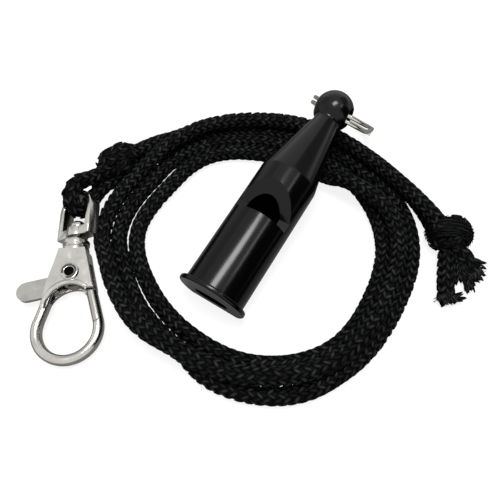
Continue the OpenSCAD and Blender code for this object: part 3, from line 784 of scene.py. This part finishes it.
class WHISTLE_OT_cords(bpy.types.Operator):
    """Braids the two strands, the bight, the knots and the frayed tails of the lanyard"""

    bl_idname = "whistle.cords"
    bl_label = "Braided lanyard"

    def execute(self, context):
        cfg = context.scene.whistle_cord
        self.yarn = braided_yarn(cfg)
        self.braid = braid_tree()
        paths = {
            "long_strand": station_path(LONG_STATIONS),
            "short_strand": station_path(SHORT_STATIONS),
            "eye_bight": spline_path(BIGHT_POINTS),
            "tail_down": spline_path(TAIL_DOWN_POINTS),
            "tail_side": spline_path(TAIL_SIDE_POINTS),
        }
        drawn = dict(paths)
        for name, stations in (("long_strand", LONG_STATIONS + DRAWN_LONG),
                               ("short_strand", SHORT_STATIONS + DRAWN_SHORT)):
            places = {station[0]: station for station in stations}
            drawn[name] = station_path(sorted(places.values()))
        drawn["tail_down"] = spline_path(TAIL_DOWN_POINTS[:-1] + [DRAWN_TAIL_END])
        drawn["eye_bight"] = spline_path(BIGHT_POINTS[:-len(DRAWN_BIGHT)] + DRAWN_BIGHT)
        made = {node_name: self.strand("braid_" + node_name, [path], cfg, seed)
                for seed, (node_name, path) in enumerate(drawn.items(), start=3)}
        knots = {"clip_knot": (CLIP_KNOT_AT, CLIP_KNOT_TURN), "end_knot": (END_KNOT_AT, END_KNOT_TURN)}
        for seed, (node_name, (at, turn)) in enumerate(knots.items(), start=17):
            made[node_name] = self.strand("braid_" + node_name, [knot_path(at, turn)], cfg, seed, size=0.96,
                                          closed=True)
        for node_name, piece in made.items():
            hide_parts(node_name)
        over = wrap_paths(END_KNOT_AT, END_WRAP_TURN, lines=5, half=0.005, rise=0.0037, across=0.0027)
        wrap = self.strand("wrap_at_end", over, cfg, seed=23, size=0.33, stretch=1.3, slant=0.3)
        over = wrap_paths(CLIP_KNOT_AT, CLIP_KNOT_TURN, lines=2, half=0.0043, rise=0.003, across=0.002)
        turns = self.strand("wrap_at_clip", over, cfg, seed=37, size=0.92)
        tufts = self.strand("tail_tufts", [spline_path(t) for t in TUFTS], cfg, seed=29, size=0.55,
                            stretch=0.9, slant=0.4)
        loose = self.frays(drawn, cfg) + [wrap, turns, tufts]
        for piece in list(made.values()) + loose:
            lay_down(piece)
            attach(piece, "lanyard")
        return {"FINISHED"}

    def strand(self, name, paths, cfg, seed, size=1.0, stretch=1.0, slant=1.0, closed=False):
        """One braided length; size scales its thickness, stretch draws its stitches out."""
        r = cfg.cord_d / 2 * size
        return grow(line_piece(name, paths, closed), self.braid, Radius=r * STITCH_AT, Core=r * CORE,
                    Pitch=cfg.pitch * stretch * min(1.0, size + 0.1),
                    Columns=COLUMNS if size > 0.5 else FEW_COLUMNS, Slant=cfg.slant * slant, Tuck=TUCK,
                    Length=cfg.pitch * STITCH_LEN * stretch, Width=r * STITCH_W, Thickness=r * STITCH_T,
                    Twist=TWIST, Seed=seed, Material=self.yarn)

    def frays(self, paths, cfg):
        """Loose fibres at the two cut ends and along the coil."""
        fibre = loose_fibre(cfg)
        tree = fibre_tree()
        r = 0.45 * cfg.cord_d
        back, tip, sides = -0.0003, 0.0004, 16
        made = []
        for name, seed in (("tail_down", 23), ("tail_side", 29)):
            path = paths[name]
            along = Vector(path[-1] - path[-2]).normalized()
            turn = along.to_track_quat("Z", "Y").to_matrix().to_4x4()
            rim = [(x, y, back) for x, y in arc(0, 0, r, 0, 360, sides)[:-1]]
            faces = [(sides, k, (k + 1) % sides) for k in range(sides)]
            cap = mesh_piece("fray_" + name, rim + [(0, 0, tip)], faces, fibre)
            cap.data.transform(Matrix.Translation(path[-1]) @ turn)
            made.append(grow(cap, tree, Density=cfg.fibres / (math.pi * r * r), Length=0.0014, Radius=0.00007,
                             Bend=0.35, Lean=0.42, Seed=seed, Material=fibre))
        sleeve = self.strand("loose_fibres", [paths["long_strand"]], cfg, seed=31)
        made.append(grow(sleeve, tree, Density=6000.0, Length=0.0012, Radius=0.000018, Bend=0.7, Lean=1.1,
                         Seed=31, Material=fibre))
        return made


class WHISTLE_OT_moulding(bpy.types.Operator):
    """Turns the whistle's barrel and mouthpiece with broken edges and a shaped windway"""

    bl_idname = "whistle.moulding"
    bl_label = "Moulded whistle"

    def execute(self, context):
        cfg = context.scene.whistle_plastic
        self.plastic = black_plastic(cfg)
        self.inner = bore_black_and_shade(cfg)
        for piece, node_name in ((self.barrel(), "whistle_body"), (self.mouthpiece(), "mouthpiece")):
            piece.data.transform(WHISTLE_FRAME)
            combine(piece, self.floor_block())
            turn_out(piece)
            break_edges(piece, cfg.edge, segments=2)
            weigh_normals(piece)
            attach(piece, "whistle")
            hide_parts(node_name)
        return {"FINISHED"}

    def barrel(self):
        """Barrel, cone and ball with the chamber, the window and the ring's hole."""
        neck_end = BALL_AT - math.sqrt(BALL_R**2 - NECK_R**2)
        soft, bends, ball_gap = 0.0004, 8, 4
        start = FLANGE_T + HAIR
        cone = math.atan2(BARREL_R - NECK_R, neck_end - SHOULDER_AT)
        outer = [(0, start), (BARREL_R, start), (BARREL_R, SHOULDER_AT - soft)]
        for k in range(1, bends + 1):
            bend = cone * k / bends
            run = SHOULDER_AT - soft + 2 * soft * math.sin(bend) / math.sin(cone)
            outer.append((BARREL_R - 2 * soft * (1 - math.cos(bend)) / math.sin(cone), run))
        wide, low = outer[-1]
        outer += [(wide - f * (wide - NECK_R), low + f * (neck_end - low)) for f in (0.3, 0.6, 0.9, 0.97)]
        first = math.degrees(math.asin((neck_end - BALL_AT) / BALL_R)) + ball_gap
        outer += arc(0, BALL_AT, BALL_R, first, 90, 40)[:-1] + [(0, BALL_AT + BALL_R)]
        body = lathe("moulded_barrel", outer, 160, self.plastic)
        bore = [(0, 0), (BORE_R, 0), (BORE_R, CHAMBER_END), (0, CHAMBER_END)]
        combine(body, lathe("bore", bore, 128, self.inner, BORE_RISE))
        margin = 0.001
        top = BARREL_R + margin
        window = [(STEP_AT, LEDGE_RISE), (STEP_AT + LEDGE_LEN, LEDGE_RISE),
                  (STEP_AT + LEDGE_LEN + (top - LEDGE_RISE) / math.tan(RAMP_ANGLE), top), (STEP_AT, top)]
        combine(body, loft("window", [[(x, -h, s) for s, h in window] for x in (-top, top)], self.plastic))
        hole = lathe("ring_hole", [(0, -top), (HOLE_R, -top), (HOLE_R, top), (0, top)], 64, self.plastic)
        hole.data.transform(Matrix.Translation((0, 0, BALL_AT)) @ Matrix.Rotation(math.pi / 2, 4, "Y"))
        combine(body, hole)
        return body

    def mouthpiece(self):
        """Flange with a round rim, the plug behind it and the windway through both."""
        round_r = 0.00045
        rim = [(0, 0.0)] + arc(FLANGE_R - round_r, round_r, round_r, -90, 0, 5)
        rim += arc(FLANGE_R - round_r, FLANGE_T - round_r, round_r, 0, 90, 5) + [(0, FLANGE_T)]
        mouth = lathe("mouth_plug", rim, 160, self.plastic)
        plug = [(0, PLUG_FROM), (PLUG_R, PLUG_FROM), (PLUG_R, PLUG_END), (0, PLUG_END)]
        combine(mouth, lathe("plug", plug, 128, self.plastic, BORE_RISE), "UNION")
        combine(mouth, self.windway())
        return mouth

    def windway(self):
        """Funnel from the wide mouth hole to the slit at the step."""
        # Each station: distance from the mouth, half width, lower height, upper height
        stations = [
            (-0.001, 0.0043, -0.0029, 0.0018), (0.0, 0.0043, -0.0028, 0.0018),
            (0.0015, 0.0042, -0.0025, 0.0019), (0.006, 0.0039, -0.0009, 0.003),
            (0.012, 0.0035, 0.0014, 0.0048), (0.017, 0.0033, 0.0034, 0.0054),
            (0.022, 0.0033, 0.00425, 0.0054)]
        sides, square_x, square_y = 40, 0.8, 0.7
        oval = [(math.copysign(abs(x) ** square_x, x), math.copysign(abs(y) ** square_y, y))
                for x, y in arc(0, 0, 1, 0, 360, sides)[:-1]]
        rows = [[(half * x, -(low + high) / 2 - (high - low) / 2 * y, s) for x, y in oval]
                for s, half, low, high in stations]
        return loft("windway", rows, self.inner)

    def floor_block(self):
        """Block under the floor that leaves the rest flat."""
        side = 0.03
        return loft("floor_block", [rectangle(side, side, z) for z in (-side, 0.0)], self.plastic)


class WHISTLE_OT_ring(bpy.types.Operator):
    """Winds the flat-wire split ring through the ball"""

    bl_idname = "whistle.ring"
    bl_label = "Split ring"

    def execute(self, context):
        nickel = nickel_plate(context.scene.whistle_metal, "ring_nickel", dull=0.8)
        turn = Matrix.Rotation(RING_YAW, 3, "Z") @ Matrix.Rotation(-RING_LEAN, 3, "X")
        place = BALL + turn @ Vector((0, RING_OFFSET, 0))
        ring = grow(line_piece("flat_wire_ring", [ring_path()]), flat_wire_tree(), Width=WIRE_W,
                    Thickness=WIRE_T, Corner=0.0003, Place=tuple(place), Turn=(-RING_LEAN, 0.0, RING_YAW),
                    Material=nickel)
        turn_out(ring)
        sharpen(ring, 50)
        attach(ring, "ring")
        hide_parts("split_ring")
        return {"FINISHED"}


class WHISTLE_OT_snap(bpy.types.Operator):
    """Rounds and plates the pieces of the swivel snap"""

    bl_idname = "whistle.snap"
    bl_label = "Swivel snap"

    def execute(self, context):
        cfg = context.scene.whistle_metal
        nickel = nickel_plate(cfg)
        # A darker and duller copy of the plating, for the gate.
        second_tone = nickel_plate(cfg, "worn_nickel", dull=1.2, shade=0.8)
        # Each row: the node, its body and the width of its rounded edges
        for node_name, body, width in (
            ("hook_body", "clip", cfg.edge), ("swivel_post", "clip", 0.0002),
            ("pivot_rivet", "clip", 0.00015), ("trigger_gate", "gate", 0.0002),
            ("swivel_eye", "lanyard", 0.00032),
        ):
            piece = link(bpy.data.objects.new("plated_" + node_name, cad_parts[node_name].data.copy()))
            piece.data.materials.clear()
            piece.data.materials.append(second_tone if node_name == "trigger_gate" else nickel)
            break_edges(piece, width, segments=3)
            if node_name in ("hook_body", "trigger_gate"):
                weigh_normals(piece)
            if node_name == "pivot_rivet":
                # Painted shade: the wall of the rivet's hole gets a nearly black copy of the nickel.
                self.paint_bore_shade(piece, nickel_plate(cfg, "rivet_bore", dull=3.0, shade=0.12))
            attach(piece, body)
            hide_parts(node_name)
        wire = flat_wire_tree()
        bead = grow(line_piece("throat_bead", [bead_path(1), bead_path(-1)]), wire, Width=BEAD_W,
                    Thickness=BEAD_W, Corner=0.0006, Material=nickel)
        turn_out(bead)
        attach(bead, "clip")
        spring = grow(line_piece("wound_spring", [spring_path()]), wire, Width=SPRING_WIRE,
                      Thickness=SPRING_WIRE, Corner=SPRING_WIRE * 0.49,
                      Material=nickel_plate(cfg, "spring_wire", dull=1.6))
        turn_out(spring)
        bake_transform(spring)
        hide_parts("gate_spring")
        return {"FINISHED"}

    def paint_bore_shade(self, piece, material):
        """Gives the wall of the rivet's hole a rough, nearly black nickel: painted shade in the hole."""
        piece.data.materials.append(material)
        inward = SNAP_FRAME.inverted()
        for face in piece.data.polygons:
            place = inward @ face.center
            if math.hypot(place.x - RIVET_X, place.y) < RIVET_BORE_R + HAIR:
                face.material_index = 1


class WHISTLE_OT_stage(bpy.types.Operator):
    """Sets the white floor, the studio light and the camera"""

    bl_idname = "whistle.stage"
    bl_label = "Stage"

    def execute(self, context):
        scene = context.scene
        scene.view_settings.view_transform = "Standard"
        self.floor()
        self.sky(scene)
        for name, card in CARDS.items():
            self.flag(name, *card)
        for name, lamp in LAMPS.items():
            self.lamp(name, *lamp)
        data = bpy.data.cameras.new("photo_camera")
        data.lens = LENS
        data.clip_start = 0.005
        camera = link(bpy.data.objects.new("photo_camera", data))
        camera.location = CAMERA_AT
        camera.rotation_euler = CAMERA_TURN
        scene.camera = camera
        return {"FINISHED"}

    def seen(self, tree, gloss=1.0):
        """One for rays from the camera and through glass, and the given level for gloss."""
        rays = node(tree, "ShaderNodeLightPath").outputs
        glossy = times(tree, rays["Is Glossy Ray"], gloss)
        first = maths(tree, "MAXIMUM", rays["Is Camera Ray"], glossy)
        return maths(tree, "MAXIMUM", first, rays["Is Transmission Ray"])

    def floor(self):
        """White floor that glows for the camera and still takes a soft shadow."""
        material, tree, _ = new_material("white_floor")
        tree.nodes.clear()
        matte = node(tree, "ShaderNodeBsdfDiffuse", {"Color": (*[FLOOR_MATTE] * 3, 1)})
        glow = node(tree, "ShaderNodeEmission", {
            "Color": (*[FLOOR_GLOW] * 3, 1), "Strength": self.seen(tree, FLOOR_IN_GLOSS)})
        both = node(tree, "ShaderNodeAddShader", {0: matte.outputs[0], 1: glow.outputs[0]})
        node(tree, "ShaderNodeOutputMaterial", {"Surface": both.outputs[0]})
        corners = rectangle(FLOOR_HALF, FLOOR_HALF)
        mesh_piece("floor", corners, [(0, 1, 2, 3)], material, smooth=False)

    def sky(self, scene):
        """Even studio light; white where it is seen."""
        world = bpy.data.worlds.new("studio")
        scene.world = world
        world.use_nodes = True
        tree = world.node_tree
        strength = node(tree, "ShaderNodeMapRange", {
            "Value": self.seen(tree), "To Min": SKY_LIGHT, "To Max": SKY_SEEN})
        feed(tree, tree.nodes["Background"], {"Color": (1, 1, 1, 1), "Strength": strength.outputs["Result"]})

    def flag(self, name, at, width, height, glow):
        """Studio card that faces the whistle, black or with an even grey glow."""
        material, tree, shader = new_material(name)
        feed(tree, shader, {
            "Base Color": (0.01, 0.01, 0.01, 1), "Roughness": 1.0, "Specular IOR Level": 0.0,
            "Emission Strength": glow})
        turn = (AIM - Vector(at)).to_track_quat("Z", "Y").to_matrix().to_4x4()
        corners = rectangle(height / 2, width / 2)
        card = mesh_piece(name, corners, [(0, 1, 2, 3)], material, smooth=False)
        card.data.transform(Matrix.Translation(at) @ turn)
        card.visible_camera = False

    def lamp(self, name, at, along, width, length, watts):
        """Rectangular softbox that faces the whistle, with its long side in the given direction."""
        data = bpy.data.lights.new(name, "AREA")
        data.shape = "RECTANGLE"
        data.size, data.size_y, data.energy = width, length, watts
        lamp = link(bpy.data.objects.new(name, data))
        back = (Vector(at) - AIM).normalized()
        across = Vector(along).cross(back).normalized()
        turn = Matrix((across, back.cross(across), back)).transposed().to_4x4()
        lamp.matrix_world = Matrix.Translation(at) @ turn


class WHISTLE_PT_panel(bpy.types.Panel):
    """Lists the steps that dress the whistle"""

    bl_idname = "WHISTLE_PT_panel"
    bl_label = "Training whistle"
    bl_space_type = "VIEW_3D"
    bl_region_type = "UI"
    bl_category = "Whistle"

    def draw(self, context):
        for name in GROUPS:
            settings = getattr(context.scene, name)
            box = self.layout.box()
            for label in settings.__annotations__:
                box.prop(settings, label)
        for step in STEPS:
            self.layout.operator(step.bl_idname)


GROUPS = {"whistle_cord": CordSettings, "whistle_plastic": PlasticSettings, "whistle_metal": MetalSettings}
STEPS = (WHISTLE_OT_stage, WHISTLE_OT_cords, WHISTLE_OT_moulding, WHISTLE_OT_ring, WHISTLE_OT_snap)
CLASSES = (*GROUPS.values(), *STEPS, WHISTLE_PT_panel)


def register():
    """Registers the settings, the steps and the panel."""
    for made in CLASSES:
        bpy.utils.register_class(made)
    for name, group in GROUPS.items():
        setattr(bpy.types.Scene, name, PointerProperty(type=group))


def unregister():
    """Takes them out again."""
    for name in GROUPS:
        delattr(bpy.types.Scene, name)
    for made in reversed(CLASSES):
        bpy.utils.unregister_class(made)


def main():
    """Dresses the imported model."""
    register()
    bpy.ops.whistle.stage()
    bpy.ops.whistle.cords()
    bpy.ops.whistle.moulding()
    bpy.ops.whistle.ring()
    bpy.ops.whistle.snap()


if __name__ == "__main__":
    main()
